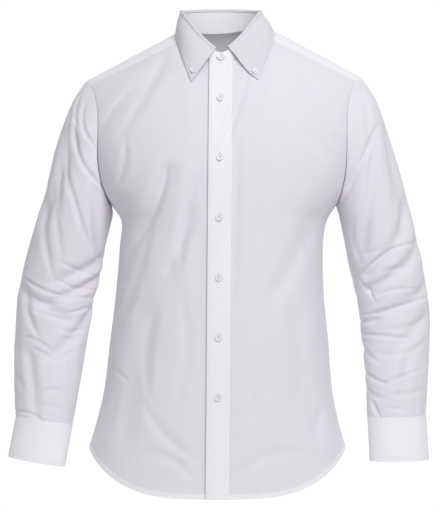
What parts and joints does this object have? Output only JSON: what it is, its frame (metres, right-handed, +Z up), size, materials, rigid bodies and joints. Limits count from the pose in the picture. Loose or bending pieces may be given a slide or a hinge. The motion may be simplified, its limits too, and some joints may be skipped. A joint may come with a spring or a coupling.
{
  "type": "long sleeve dress shirt",
  "caption": "Hollow long sleeve dress shirt in its worn shape, with a button-down collar, buttoned front, lapped cuffs and a curved hem.",
  "frame": {"origin": "middle of the neck, level with the tops of the shoulders, where the wearer carries the shirt", "axes": "+Z up through the collar, +X towards the wearer's left sleeve, the front faces -Y"},
  "size_m": [0.6928, 0.2437, 0.8142],
  "materials": {
    "cloth": "fine matt cotton",
    "fused_cloth": "smooth interlined cotton",
    "button": "pearly gloss"
  },
  "bodies": {
    "root": {"front_left": "cloth", "front_right": "cloth", "placket": "fused_cloth", "back": "cloth", "yoke": "cloth", "collar_stand": "fused_cloth", "collar_leaf": "fused_cloth", "sleeve_left": "cloth", "sleeve_right": "cloth", "sleeve_placket_left": "cloth", "sleeve_placket_right": "cloth", "cuff_left": "fused_cloth", "cuff_right": "fused_cloth", "button_stand": "button", "button_1": "button", "button_2": "button", "button_3": "button", "button_4": "button", "button_5": "button", "button_6": "button", "button_collar_left": "button", "button_collar_right": "button", "button_cuff_left": "button", "button_cuff_right": "button"}
  },
  "joints": []
}
